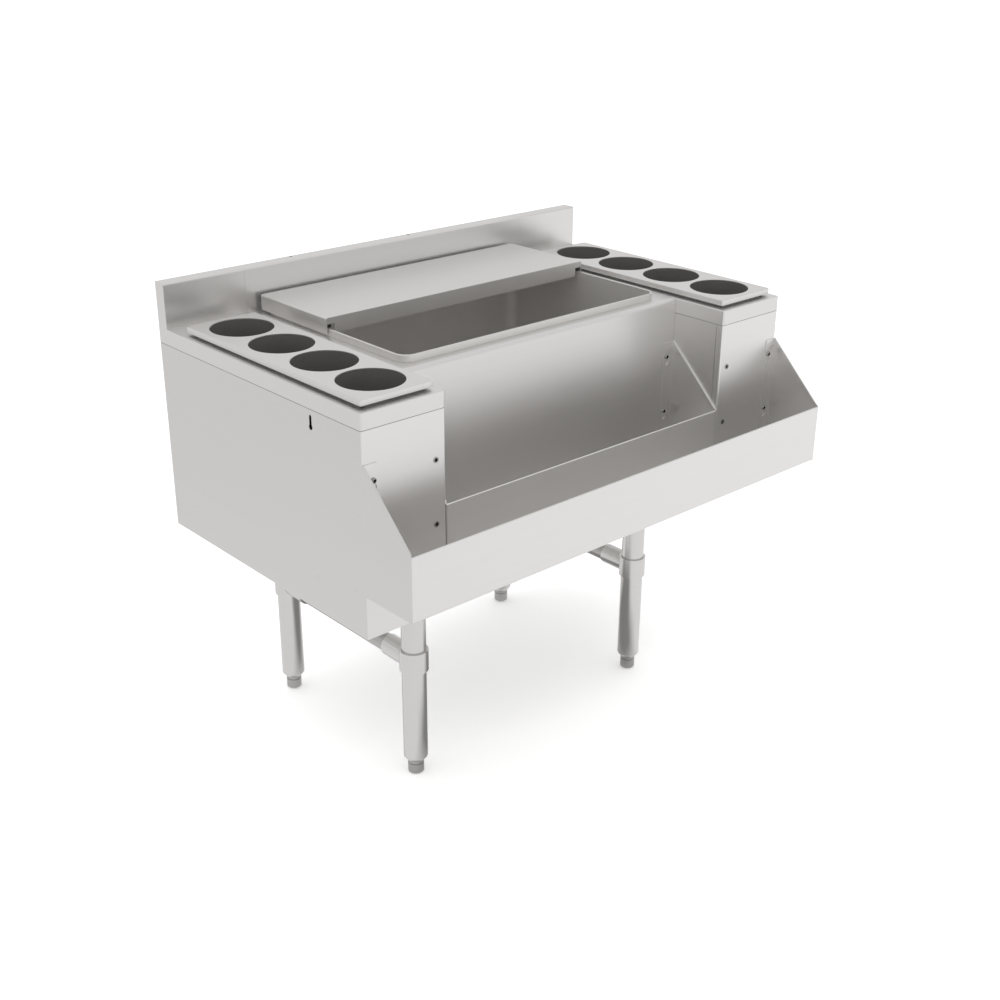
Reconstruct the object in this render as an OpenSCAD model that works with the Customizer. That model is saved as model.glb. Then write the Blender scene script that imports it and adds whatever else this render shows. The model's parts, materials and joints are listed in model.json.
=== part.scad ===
// Underbar ice bin between two insulated bottle cabinets, with two speed rails
// stepped across the front, a backsplash in three lengths and four tubular legs.
// Millimetres. +Z is up and the splash is at +Y. The origin is on the floor,
// at the centre of the unit's width and of its depth over the outer rail.

/* [Unit] */
// Width over both bottle cabinets
unit_w = 914.4; // [860:0.1:1200]
// Height of the deck above the floor
deck_h = 736.6; // [700:0.1:800]
// Height of the cabinets, from the deck to their underside
body_h = 349; // [335:1:380]
// Thickness of the sheet steel
sheet = 1.2; // [1:0.1:1.5]
// Outer radius of a tight bend in the sheet
bend_r = 3; // [2.5:0.1:4]
// Width of the flanges that join the panels inside
flange_w = 12; // [10:0.5:14]
// Clearance between two fixed panels that fit one in the other
fit = 0.2; // [0.1:0.05:0.3]

/* [Bottle cabinets] */
// Width of the deck on both sides of the well's cover
cover_x = 11; // [10:0.5:20]
// Setback of the cover from the cabinet's front
cover_y = 13.2; // [12:0.1:16]
// Depth of the deck and the splash behind the cover
cover_back_d = 68.6; // [64:0.1:120]
// Height of the deck's skirt, down to the seam with the cabinet
skirt_h = 26; // [22:0.5:30]
// Height of the shadow groove at that seam
seam_groove = 0.8; // [0.4:0.1:1]

/* [Bottle wells] */
// Number of bottles in each well
bottles = 4; // [4:1:4]
// Diameter of each bottle hole
bottle_d = 101.6; // [90:0.1:110]
// Distance between two bottle holes
bottle_gap = 10; // [8:0.1:20]
// Distance from the last hole at each end to the cover's end
bottle_end_gap = 10.4; // [10.2:0.1:20]
// Distance from the holes to the cover's sides
bottle_side_gap = 13.2; // [11:0.1:20]
// Height of the cover's top above the deck
cover_top = 13.5; // [13:0.1:16]
// Gap between the cover's skirt and the deck
cover_gap = 4; // [3:0.1:5]
// Distance from the cover's edge to the raised rim under it
rim_inset = 6.5; // [5.5:0.1:6.6]
// Wall of the bottle tubes
tube_wall = 1.5; // [1:0.1:1.6]
// Depth of the bottle tubes below the cover
tube_h = 203; // [180:1:215]
// Space under the bottle tubes, above the floor of the well
well_space = 10; // [6:1:14]
// Corner radius of the well and of its rim
well_r = 6; // [4:0.5:8]

/* [Ice bin] */
// Setback of the ice bin's front behind the bottle cabinets
recess_d = 107; // [70:1:110]
// Radius of the soft bend at the bin's front edge
apron_r = 8; // [5:0.5:10]
// Distance from the bin's sides to the tub's inner face
tub_x = 29.95; // [29:0.05:60]
// Distance from the bin's front to the tub's inner face
tub_y = 23.5; // [23:0.1:26]
// Distance from the bin's back to the tub's inner face
tub_back_gap = 43; // [42:0.5:60]
// Space between the tub's floor and the cabinet's underside
tub_floor_gap = 44; // [40:1:70]
// Radius of the tub's upright corners, inside
tub_r = 20; // [19:0.5:26]
// Radius of the cove between the tub's walls and floor
cove_r = 16; // [10:0.5:18]
// Height of the tub's rolled rim above the deck
tub_rim_h = 12; // [10:0.5:13]
// Thickness of the tub's rolled rim
tub_rim_t = 3.5; // [3:0.1:4]

/* [Lid] */
// Overhang of the lid past the tub's inner faces
lid_overhang = 6.75; // [6.25:0.05:8]
// Reach of the lid past the tub's middle, when it is pushed right back
lid_reach = 3.75; // [-15:0.25:5]
// Height of the lid's top above the deck
lid_top = 29.5; // [28:0.5:34]
// Gap between the lid, pushed right back, and the splash
lid_back_gap = 9.1; // [8.5:0.1:14]
// Height of the lid's skirts above the deck
lid_gap = 3.5; // [2.5:0.1:5]
// Width of the notch at each end of the lid's front flange
lid_notch_w = 15; // [14:0.5:18]
// Height left over the notch
lid_notch_h = 10.5; // [9:0.5:12]
// Running clearance of the parts that slide or lift
run_gap = 0.3; // [0.3:0.05:0.4]

/* [Splash] */
// Height of the splash above the deck
splash_h = 75; // [60:1:120]
// Thickness of the splash, front to back
splash_t = 25.4; // [24:0.1:26]
// Diameter of the two small holes in the splash's top
splash_hole_d = 5; // [3:0.5:6]

/* [Speed rails] */
// Depth of the outer rail, in front of the bottle cabinets
outer_rail_d = 106; // [90:1:130]
// Height of the rails' front lip
lip_h = 101.6; // [90:0.1:120]
// Height of the rails' end plates at the back
rail_end_h = 203.2; // [195:0.1:212]
// Drop from the deck to the top of the end plates
rail_drop = 76.2; // [70:0.1:84]
// Height of the upstand at the back of the rails' floor
rail_back_h = 30; // [20:1:40]
// Thickness of a folded hem
hem_t = 3; // [2.6:0.1:3.4]
// Width of a folded hem
hem_w = 8; // [6:0.5:10]
// Width of the end plates' fixing flange
rail_flange_w = 25.4; // [25:0.1:30]
// Distance from a cabinet's side to its line of fixing holes
fixing_inset = 18.5; // [18:0.1:19]
// Drop from the end plates' top to the upper fixing hole
fixing_drop = 25.8; // [24:0.1:30]

/* [Legs] */
// Outer diameter of the leg tube
leg_d = 41.3; // [38:0.1:43]
// Wall of the leg tube
leg_wall = 1.5; // [1.2:0.1:2]
// Distance of the legs from the bin's sides
leg_side_inset = 43; // [40:1:60]
// Distance of the legs from the bin's front and back
leg_end_inset = 32; // [32:1:50]
// Height of the leg tube's bottom end above the floor
leg_bottom = 28.6; // [26:0.1:40]
// Diameter of the foot
foot_d = 27.5; // [26:0.1:30]
// Travel of the screwed foot
foot_travel = 20; // [10:1:25]
// Height of the crossrails' centre line above the floor
cross_z = 221; // [180:1:260]
// Outer diameter of the crossrails
cross_d = 31.8; // [28:0.1:32]
// Height of the tee's collar round the leg
collar_h = 38; // [38:1:50]
// Reach of the tee's sleeve from the leg's centre line
tee_reach = 65; // [60:1:80]

/* [Drains] */
// Outer diameter of the ice bin's drain tail
bin_drain_d = 33.4; // [26:0.1:34]
// Length of that tail below the cabinet
bin_drain_l = 38; // [20:1:50]
// Outer diameter of the bottle wells' drain tails
well_drain_d = 21.3; // [17:0.1:22]
// Length of those tails below the cabinets
well_drain_l = 25; // [15:1:40]

/* [Hidden] */
$fn = 64;

// Colours
steel = [0.80, 0.79, 0.77];
steel_dark = [0.62, 0.61, 0.59];
plastic_dark = [0.16, 0.16, 0.15];
nylon = [0.88, 0.88, 0.86];
foam = [0.93, 0.88, 0.70];

// Overrun of every cut past the face that it goes through
cut = 1;

// Cover, sized to its row of bottles
bottle_pitch = bottle_d + bottle_gap;
cover_w = bottle_d + 2 * bottle_side_gap;
cover_l = bottles * bottle_pitch - bottle_gap + 2 * bottle_end_gap;

// Planes of the cabinets
side_w = cover_w + 2 * cover_x;
side_d = cover_y + cover_l + cover_back_d;
bin_w = unit_w - 2 * side_w;
bin_d = side_d - recess_d;
back_y = (side_d + outer_rail_d) / 2;
side_y = back_y - side_d;
bin_y = back_y - bin_d;
base_z = deck_h - body_h;
seam_z = deck_h - skirt_h;

// Half of the hairline joint between two cabinets
joint_gap = 0.2;

// Upturned edge of the bottom pans
pan_h = 15;

// Insulation: clearance round it, and the room for bolts behind the fronts
foam_gap = 0.5;
foam_front = 14;
foam_inset = 2 * sheet + fit + foam_gap;

// Bottle wells, in a cabinet's own frame
rim_h = cover_top - sheet - run_gap;
well_x = cover_x + rim_inset + sheet;
well_y = cover_y + rim_inset + sheet;
well_w = cover_w - 2 * (rim_inset + sheet);
well_d = cover_l - 2 * (rim_inset + sheet);
well_centre = [side_w / 2, cover_y + cover_l / 2];
tube_top = deck_h + cover_top - sheet;
well_floor = tube_top - tube_h - well_space;
liner_flange = 8;
tube_base = 2;
tube_drain_d = 20;

// Front sheet's flap on the inner side, ending in a seam below the deck's skirt
flap_l = 13;
flap_seam = 0.6;
flap_drop = 4;

// Keyhole that hangs a neighbour on the outer side, and the rivets under it
keyhole_y = 119;
keyhole_drop = 37.3;
keyhole_slot = 5.6;
keyhole_round = 8.6;
keyhole_l = 15.8;
keyhole_pocket = 11;
rivet_d = 4.1;
rivet_head_d = 7;
rivet_head_t = 0.8;
rivet_rise = 60;
toe_rivet_y = 25;
toe_rivet_rise = 71;
rivet_places = [[keyhole_y, rivet_rise], [toe_rivet_y, toe_rivet_rise]];

// Ice tub, in the bin's own frame
tub_w = bin_w - 2 * tub_x;
tub_d = bin_d - tub_y - tub_back_gap;
tub_h = body_h - tub_floor_gap;
tub_floor = deck_h - tub_h;

// Drain fittings
bin_drain_flange_d = 76;
bin_drain_flange_t = 3;
strainer_d = 56;
strainer_t = 1.5;
strainer_hole_d = 4.6;
strainer_pitch = 7.4;
strainer_rings = 2;
drain_wall = 3.4;
drain_neck = 0.4;
well_drain_flange_d = 38;
well_drain_flange_t = 1.5;
drain_room = 4;

// Holes in the splash's top, from the left end of the bin
splash_hole_first = 105;
splash_hole_pitch = 255;
splash_hole_edge = 6;

// Lid, in the bin's own frame
lid_w = tub_w + 2 * lid_overhang;
lid_d = tub_d / 2 + lid_reach;
lid_x = tub_x - lid_overhang;
lid_y = bin_d - splash_t - lid_back_gap - lid_d;
lid_bottom = deck_h + lid_gap;
lid_bend_r = 2.5;
lid_over_rim = 1;
glide_w = 8;
glide_l = 30;
glide_setback = 3;

// Speed rails
lip_z = deck_h - rail_drop - rail_end_h;
fixing_pitch = rail_end_h / 2;
inner_rail_gap = 0.5;

// Screws that hold the rails, and the threaded inserts beside them
screw_d = 6;
screw_l = 12;
head_d = 8.5;
head_t = 3;
socket_d = 5;
socket_t = 1.8;
slot_w = screw_d + 2 * run_gap;
slot_l = 11;
slot_round = 11;
insert_d = 7.9;
insert_bore = 5.6;
insert_l = 10;
insert_rim_d = 9.5;
insert_rim_t = 0.6;

// Legs
leg_plate = 60;
leg_plate_t = 3;
leg_plate_r = 6;
leg_x = bin_w / 2 - leg_side_inset;
leg_front_y = bin_y + leg_end_inset;
leg_rear_y = back_y - leg_end_inset;
plug_h = 25;
plug_tip_d = 34;
plug_taper_h = 5;
stud_d = 15.4;
stud_spare = 10;
stud_l = plug_h + foot_travel + stud_spare;
foot_chamfer = 3;
groove_z = 19.5;
groove_h = 2.4;
groove_depth = 1.2;
collar_wall = 3.8;
sleeve_wall = 2.8;
tee_screw_d = 6;
tee_screw_out = 1.4;
tee_screw_inset = 4;
tee_screw_pitch = 22;
curve_gap = 0.15;

// Flat shapes

// Rectangle from the origin with its two front corners rounded
module front_rounded(w, d, r) {
  translate([0, r])
    square([w, d - r]);
  translate([r, 0])
    square([w - 2 * r, r]);
  for (x = [r, w - r])
    translate([x, r])
      circle(r);
}

// Rectangle from the origin with four rounded corners
module rounded(w, d, r) {
  translate([0, r])
    square([w, d - 2 * r]);
  translate([r, 0])
    square([w - 2 * r, d]);
  for (x = [r, w - r], y = [r, d - r])
    translate([x, y])
      circle(r);
}

// Rectangle from the origin with its top left corner rounded
module top_left_rounded(w, h, r) {
  square([w, h - r]);
  translate([r, 0])
    square([w - r, h]);
  translate([r, h - r])
    circle(r);
}

// Rectangle from the origin with both top corners rounded
module top_rounded(w, h, r) {
  translate([0, h])
    mirror([0, 1])
      front_rounded(w, h, r);
}

// Extrudes a shape drawn in y and z along x
module along_x(l) {
  rotate([90, 0, 90])
    linear_extrude(l)
      children();
}

// Sweeps a profile, x outwards and y up, round a rectangle with corners of radius r
module sweep_round(w, d, r) {
  corners = [[w - r, d - r], [r, d - r], [r, r], [w - r, r]];
  starts = [[w, d - r], [r, d], [0, r], [w - r, 0]];
  runs = [d - 2 * r, w - 2 * r, d - 2 * r, w - 2 * r];
  for (i = [0 : 3]) {
    translate([corners[i].x, corners[i].y, 0])
      rotate(i * 90)
        rotate_extrude(angle = 90)
          translate([r, 0])
            children();
    translate([starts[i].x, starts[i].y, 0])
      rotate([90, 0, i * 90])
        linear_extrude(runs[i])
          children();
  }
}

// Keyhole with its round end down, drawn about the seat of the screw
module keyhole(slot, round_d, l) {
  circle(d = slot);
  translate([-slot / 2, -l])
    square([slot, l]);
  translate([0, -l])
    circle(d = round_d);
}

// Places

// Bottle cabinets are drawn as the left one, from its outer front corner
module on_left() {
  translate([-unit_w / 2, side_y, 0])
    children();
}

module on_right() {
  mirror([1, 0, 0])
    on_left()
      children();
}

// The ice bin is drawn from its left front corner
module on_bin() {
  translate([-bin_w / 2, bin_y, 0])
    children();
}

module at_leg(side, end_y) {
  translate([side * leg_x, end_y, 0])
    children();
}

// Heights of the fixing holes
fixing_zs = [for (i = [0, 1]) deck_h - rail_drop - fixing_drop - i * fixing_pitch];

// Round hole along y through a front panel
module front_hole(x, z, d) {
  translate([x, -cut, z])
    rotate([-90, 0, 0])
      cylinder(d = d, h = sheet + 2 * cut);
}

// Bottle cabinet

// Front and both sides in one bent sheet, with a flange turned in at the top
module side_shell() {
  wall_h = seam_z - seam_groove / 2 - base_z;
  color(steel)
    difference() {
      union() {
        translate([0, 0, base_z])
          linear_extrude(wall_h)
            difference() {
              front_rounded(side_w, side_d - sheet, bend_r);
              translate([sheet, sheet])
                front_rounded(side_w - 2 * sheet, side_d, bend_r - sheet);
            }
        translate([0, 0, seam_z - sheet])
          linear_extrude(sheet)
            difference() {
              translate([sheet / 2, sheet / 2])
                front_rounded(side_w - sheet, side_d - flange_w - fit - sheet / 2, bend_r - sheet / 2);
              translate([flange_w, flange_w])
                square([side_w - 2 * flange_w, side_d]);
            }
      }
      for (z = fixing_zs) {
        front_hole(fixing_inset, z, screw_d + 2 * fit);
        front_hole(side_w - fixing_inset, z, insert_d + 2 * fit);
      }
      outer_side_holes();
      translate([side_w - sheet - cut, flap_l, base_z - cut])
        cube([sheet + 2 * cut, flap_seam, wall_h - flap_drop + cut]);
    }
}

// Keyhole and rivet holes through the outer side
module outer_side_holes() {
  translate([-cut, 0, 0])
    along_x(sheet + 2 * cut) {
      translate([keyhole_y, deck_h - keyhole_drop])
        keyhole(keyhole_slot, keyhole_round, keyhole_l);
      for (place = rivet_places)
        translate([place[0], base_z + place[1]])
          circle(d = rivet_d + 2 * fit);
    }
}

// Flush rivets low on the outer side, headed inside
module outer_side_rivets() {
  color(steel)
    for (place = rivet_places)
      translate([0, place[0], base_z + place[1]])
        rotate([0, 90, 0]) {
          cylinder(d = rivet_d, h = sheet + rivet_head_t / 2);
          translate([0, 0, sheet])
            cylinder(d = rivet_head_d, h = rivet_head_t);
        }
}

module side_rivets() {
  on_left()
    outer_side_rivets();
  on_right()
    outer_side_rivets();
}

// Plate at the back with flanges turned forward inside the shell
module side_back_panel() {
  panel_h = seam_z - seam_groove / 2 - base_z;
  flange_z = base_z + pan_h + fit;
  color(steel) {
    translate([0, side_d - sheet, base_z])
      cube([side_w, sheet, panel_h]);
    for (x = [sheet + fit, side_w - 2 * sheet - fit])
      translate([x, side_d - flange_w, flange_z])
        cube([sheet, flange_w, seam_z - flange_z]);
    translate([sheet + fit, side_d - flange_w, seam_z - sheet])
      cube([side_w - 2 * (sheet + fit), flange_w - sheet / 2, sheet]);
  }
}

// Shallow pan with its edge turned up, wide w and deep d
module pan(w, d, drain_x, drain_y, drain_d) {
  linear_extrude(pan_h)
    difference() {
      rounded(w, d, bend_r);
      translate([sheet, sheet])
        rounded(w - 2 * sheet, d - 2 * sheet, bend_r - sheet);
    }
  linear_extrude(sheet)
    difference() {
      rounded(w, d, bend_r);
      translate([drain_x, drain_y])
        circle(d = drain_d + drain_room);
    }
}

module side_bottom_pan() {
  inset = sheet + fit;
  color(steel)
    translate([inset, inset, base_z])
      pan(side_w - 2 * inset, side_d - 2 * inset,
          well_centre.x - inset, well_centre.y - inset, well_drain_d);
}

// Channel of the splash, open at the bottom, drawn in y and z
module splash_profile(d) {
  translate([d - splash_t, deck_h - sheet])
    difference() {
      top_left_rounded(splash_t, splash_h + sheet, bend_r);
      translate([sheet, -cut])
        top_left_rounded(splash_t - 2 * sheet, splash_h + cut, bend_r - sheet);
    }
}

// Skirt that hangs from the deck, with a return flange that seats on the cabinet
module deck_skirt(w, d) {
  translate([0, 0, seam_z + seam_groove / 2])
    linear_extrude(skirt_h - seam_groove / 2)
      difference() {
        front_rounded(w, d, bend_r);
        translate([sheet, sheet])
          front_rounded(w - 2 * sheet, d - 2 * sheet, bend_r - sheet);
      }
  translate([0, 0, seam_z])
    linear_extrude(sheet)
      difference() {
        translate([sheet / 2, sheet / 2])
          front_rounded(w - sheet, d - sheet, bend_r - sheet / 2);
        translate([flange_w, flange_w])
          square([w - 2 * flange_w, d - 2 * flange_w]);
      }
}

// Deck with its raised rim, its skirt and its length of the splash
module side_deck() {
  color(steel) {
    deck_skirt(side_w, side_d);
    translate([0, 0, deck_h - sheet])
      linear_extrude(sheet)
        difference() {
          front_rounded(side_w, side_d, bend_r);
          translate([well_x, well_y])
            rounded(well_w, well_d, well_r);
        }
    translate([0, 0, deck_h - sheet])
      linear_extrude(rim_h + sheet)
        difference() {
          translate([well_x - sheet, well_y - sheet])
            rounded(well_w + 2 * sheet, well_d + 2 * sheet, well_r + sheet);
          translate([well_x, well_y])
            rounded(well_w, well_d, well_r);
        }
    along_x(side_w)
      splash_profile(side_d);
    along_x(sheet)
      translate([side_d - splash_t, deck_h - sheet])
        top_left_rounded(splash_t, splash_h + sheet, bend_r);
  }
}

// Liner of the well, hung from the deck by its flange
module well_liner() {
  h = deck_h - sheet - well_floor;
  color(steel)
    difference() {
      union() {
        translate([well_x - sheet, well_y - sheet, well_floor - sheet])
          linear_extrude(h + sheet)
            rounded(well_w + 2 * sheet, well_d + 2 * sheet, well_r + sheet);
        translate([well_x - liner_flange, well_y - liner_flange, deck_h - 2 * sheet])
          linear_extrude(sheet)
            rounded(well_w + 2 * liner_flange, well_d + 2 * liner_flange, well_r + liner_flange);
      }
      translate([well_x, well_y, well_floor])
        linear_extrude(h + cut)
          rounded(well_w, well_d, well_r);
      translate([well_centre.x, well_centre.y, well_floor - sheet - cut])
        cylinder(d = well_drain_d + 2 * fit, h = sheet + 2 * cut);
    }
}

// Insulation block in two steps, the upper one inside the flanges at the seam
module foam_steps(w, front, back, top_z) {
  step_z = seam_z - sheet - foam_gap;
  neck = flange_w + foam_gap;
  translate([foam_inset, front, base_z + sheet])
    cube([w - 2 * foam_inset, back - front, step_z - base_z - sheet]);
  translate([neck, front, step_z])
    cube([w - 2 * neck, back - front, top_z - step_z]);
}

module side_insulation() {
  gap = sheet + foam_gap;
  color(foam)
    difference() {
      foam_steps(side_w, foam_front, side_d - flange_w - foam_gap, deck_h - 2 * sheet - foam_gap);
      translate([well_x - gap, well_y - gap, well_floor - gap])
        linear_extrude(deck_h - well_floor + gap)
          rounded(well_w + 2 * gap, well_d + 2 * gap, well_r + gap);
      translate([well_centre.x, well_centre.y, base_z])
        cylinder(d = well_drain_d + drain_room, h = body_h);
      translate([0, keyhole_y - keyhole_pocket, deck_h - keyhole_drop - keyhole_l - keyhole_pocket])
        cube([keyhole_pocket + sheet, 2 * keyhole_pocket, keyhole_l + 2 * keyhole_pocket]);
    }
}

// Drain fitting on the z axis: a flange on the floor at z, a neck through the
// cabinet, and a threaded tail of length l below it
module drain(z, flange_d, flange_t, tail_d, l) {
  bottom = base_z - l;
  difference() {
    union() {
      translate([0, 0, bottom])
        cylinder(d = tail_d, h = l);
      translate([0, 0, base_z])
        cylinder(d = tail_d - drain_neck, h = z - base_z);
      translate([0, 0, z])
        cylinder(d = flange_d, h = flange_t);
    }
    translate([0, 0, bottom - cut])
      cylinder(d = tail_d - 2 * drain_wall, h = z + flange_t - bottom + 2 * cut);
  }
}

module well_drain() {
  color(steel_dark)
    translate([well_centre.x, well_centre.y, 0])
      drain(well_floor, well_drain_flange_d, well_drain_flange_t, well_drain_d, well_drain_l);
}

// Places of the bottles, counted from the front
function bottle_y(i) = well_centre.y + (i - (bottles + 1) / 2) * bottle_pitch;

// Cover with a skirt and a row of bottle holes
module cover() {
  skirt = cover_top - cover_gap;
  color(steel)
    difference() {
      translate([cover_x, cover_y, deck_h + cover_gap])
        linear_extrude(skirt)
          rounded(cover_w, cover_l, bend_r);
      translate([cover_x + sheet, cover_y + sheet, deck_h + cover_gap - cut])
        linear_extrude(skirt - sheet + cut)
          rounded(cover_w - 2 * sheet, cover_l - 2 * sheet, bend_r - sheet);
      for (i = [1 : bottles])
        translate([well_centre.x, bottle_y(i), deck_h])
          cylinder(d = bottle_d, h = cover_top + cut);
    }
}

// Tube that holds a bottle under its hole, with a drain hole in its base
module bottle_tube(i) {
  r = bottle_d / 2;
  color(plastic_dark)
    translate([well_centre.x, bottle_y(i), tube_top - tube_h])
      difference() {
        cylinder(r = r + tube_wall, h = tube_h);
        translate([0, 0, tube_base])
          cylinder(r = r, h = tube_h);
        translate([0, 0, -cut])
          cylinder(d = tube_drain_d, h = tube_base + 2 * cut);
      }
}

// Ice bin cabinet

// Deck and front apron in one bent sheet, with the skirts and the middle splash
module bin_deck() {
  w = bin_w - 2 * joint_gap;
  color(steel)
    translate([joint_gap, 0, 0])
      difference() {
        union() {
          along_x(w)
            bin_front_profile();
          along_x(w)
            splash_profile(bin_d);
          difference() {
            deck_skirt(w, bin_d);
            translate([sheet, -cut, seam_z - cut])
              cube([w - 2 * sheet, flange_w + cut, skirt_h]);
            translate([-cut, -cut, seam_z - cut])
              cube([w + 2 * cut, apron_r + cut, body_h]);
          }
          for (x = [0, w - sheet])
            translate([x, 0, 0])
              along_x(sheet)
                apron_return_profile();
        }
        translate([tub_x - joint_gap - sheet - fit, tub_y - sheet - fit, deck_h - sheet - cut])
          linear_extrude(sheet + 2 * cut)
            rounded(tub_w + 2 * (sheet + fit), tub_d + 2 * (sheet + fit), tub_r + sheet + fit);
        for (x = [fixing_inset - joint_gap, w + joint_gap - fixing_inset], z = fixing_zs)
          front_hole(x, z, screw_d + 2 * fit);
        for (i = [0, 1])
          translate([splash_hole_first + i * splash_hole_pitch, bin_d - splash_hole_edge, deck_h + splash_h - sheet - cut])
            cylinder(d = splash_hole_d, h = sheet + 2 * cut);
      }
}

// Deck and apron, drawn in y and z
module bin_front_profile() {
  translate([0, base_z])
    difference() {
      top_left_rounded(bin_d, body_h, apron_r);
      translate([sheet, -cut])
        top_left_rounded(bin_d, body_h - sheet + cut, apron_r - sheet);
    }
}

// Edge of the apron turned back beside the cabinet, drawn in y and z
module apron_return_profile() {
  intersection() {
    translate([0, base_z])
      top_left_rounded(bin_d, body_h, apron_r);
    translate([0, base_z])
      square([flange_w, body_h]);
  }
}

// Both sides and the back in one bent sheet
module bin_shell() {
  w = bin_w - 2 * joint_gap;
  front = flange_w + fit;
  d = bin_d - front;
  color(steel)
    translate([joint_gap, bin_d, 0])
      mirror([0, 1, 0]) {
        translate([0, 0, base_z])
          linear_extrude(seam_z - seam_groove / 2 - base_z)
            difference() {
              front_rounded(w, d, bend_r);
              translate([sheet, sheet])
                front_rounded(w - 2 * sheet, d, bend_r - sheet);
            }
        translate([0, 0, seam_z - sheet])
          linear_extrude(sheet)
            difference() {
              translate([sheet / 2, sheet / 2])
                front_rounded(w - sheet, d - sheet / 2, bend_r - sheet / 2);
              translate([flange_w, flange_w])
                square([w - 2 * flange_w, d]);
            }
      }
}

module bin_bottom_pan() {
  inset = sheet + fit;
  x = joint_gap + inset;
  color(steel)
    translate([x, inset, base_z])
      pan(bin_w - 2 * x, bin_d - 2 * inset, bin_w / 2 - x, tub_y + tub_d / 2 - inset, bin_drain_d);
}

// Wall of the tub down to its cove, x outwards from the inner face and y from the floor
module tub_wall_profile() {
  r = cove_r + sheet;
  translate([0, cove_r])
    square([sheet, tub_h - cove_r]);
  translate([-cove_r, cove_r])
    difference() {
      intersection() {
        circle(r);
        translate([0, -r])
          square([r, r]);
      }
      circle(cove_r);
    }
}

// Rolled rim that carries the tub on the deck, drawn like the wall
module tub_rim_profile() {
  r = tub_rim_t / 2;
  square([tub_rim_t, tub_rim_h - r]);
  translate([r, tub_rim_h - r])
    circle(r);
}

module ice_tub() {
  color(steel)
    translate([tub_x, tub_y, 0])
      difference() {
        union() {
          translate([0, 0, tub_floor])
            sweep_round(tub_w, tub_d, tub_r)
              tub_wall_profile();
          translate([0, 0, deck_h])
            sweep_round(tub_w, tub_d, tub_r)
              tub_rim_profile();
          translate([cove_r, cove_r, tub_floor - sheet])
            linear_extrude(sheet)
              rounded(tub_w - 2 * cove_r, tub_d - 2 * cove_r, tub_r - cove_r);
        }
        translate([tub_w / 2, tub_d / 2, tub_floor - sheet - cut])
          cylinder(d = bin_drain_d + 2 * fit, h = sheet + 2 * cut);
      }
}

module bin_insulation() {
  gap = sheet + foam_gap;
  color(foam)
    difference() {
      foam_steps(bin_w, foam_front, bin_d - flange_w - foam_gap, deck_h - sheet - foam_gap);
      translate([tub_x - gap, tub_y - gap, tub_floor - gap])
        linear_extrude(tub_h + gap)
          rounded(tub_w + 2 * gap, tub_d + 2 * gap, tub_r + gap);
      translate([bin_w / 2, tub_y + tub_d / 2, base_z])
        cylinder(d = bin_drain_d + drain_room, h = body_h);
    }
}

// Drain of the tub, with a recess that holds the strainer
module bin_drain() {
  color(steel_dark)
    translate([bin_w / 2, tub_y + tub_d / 2, 0])
      difference() {
        drain(tub_floor, bin_drain_flange_d, bin_drain_flange_t, bin_drain_d, bin_drain_l);
        translate([0, 0, tub_floor + bin_drain_flange_t - strainer_t])
          cylinder(d = strainer_d, h = strainer_t + cut);
      }
}

// Flat strainer with rings of holes
module drain_strainer() {
  color(steel)
    translate([bin_w / 2, tub_y + tub_d / 2, tub_floor + bin_drain_flange_t - strainer_t])
      difference() {
        cylinder(d = strainer_d - 2 * fit, h = strainer_t);
        for (ring = [0 : strainer_rings], i = [0 : max(6 * ring - 1, 0)])
          rotate(i * 60 / max(ring, 1))
            translate([ring * strainer_pitch, 0, -cut])
              cylinder(d = strainer_hole_d, h = strainer_t + 2 * cut);
      }
}

// Sliding lid, drawn from its left front corner
module lid() {
  h = lid_top - lid_gap;
  flange_h = lid_top - tub_rim_h - lid_over_rim;
  color(steel)
    translate([lid_x, lid_y, lid_bottom]) {
      translate([0, lid_d, 0])
        rotate([90, 0, 0])
          linear_extrude(lid_d)
            difference() {
              top_rounded(lid_w, h, lid_bend_r);
              translate([sheet, -cut])
                top_rounded(lid_w - 2 * sheet, h - sheet + cut, lid_bend_r - sheet);
            }
      translate([lid_notch_w, 0, 0])
        cube([lid_w - 2 * lid_notch_w, sheet, h - sheet / 2]);
      translate([sheet / 2, 0, h - lid_notch_h])
        cube([lid_w - sheet, sheet, lid_notch_h - sheet / 2]);
      translate([sheet / 2, lid_d - sheet, h - flange_h])
        cube([lid_w - sheet, sheet, flange_h - sheet / 2]);
    }
}

// Four blocks under the lid that run on the tub's rim
module lid_glides() {
  bottom = deck_h + tub_rim_h + run_gap;
  top = deck_h + lid_top - sheet;
  color(nylon)
    for (x = [lid_bend_r, lid_w - lid_bend_r - glide_w], y = [glide_setback, lid_d - glide_setback - glide_l])
      translate([lid_x + x, lid_y + y, bottom])
        cube([glide_w, glide_l, top - bottom]);
}

// Speed rails

// Lip, floor and rear upstand, y from the lip's face and z from the underside
module rail_profile(d) {
  difference() {
    union() {
      translate([0, lip_h - hem_t / 2])
        mirror([0, 1])
          top_left_rounded(d, lip_h - hem_t / 2, bend_r);
      translate([hem_t / 2, lip_h - hem_t / 2])
        circle(d = hem_t);
    }
    translate([hem_t, lip_h - hem_w])
      square([d, hem_w + cut]);
    translate([sheet, lip_h - hem_w])
      mirror([0, 1])
        top_left_rounded(d - 2 * sheet, lip_h - hem_w - sheet, bend_r - sheet);
    translate([d / 2, rail_back_h])
      square([d, lip_h]);
  }
}

module rail(w, d) {
  color(steel)
    along_x(w)
      rail_profile(d);
}

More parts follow.
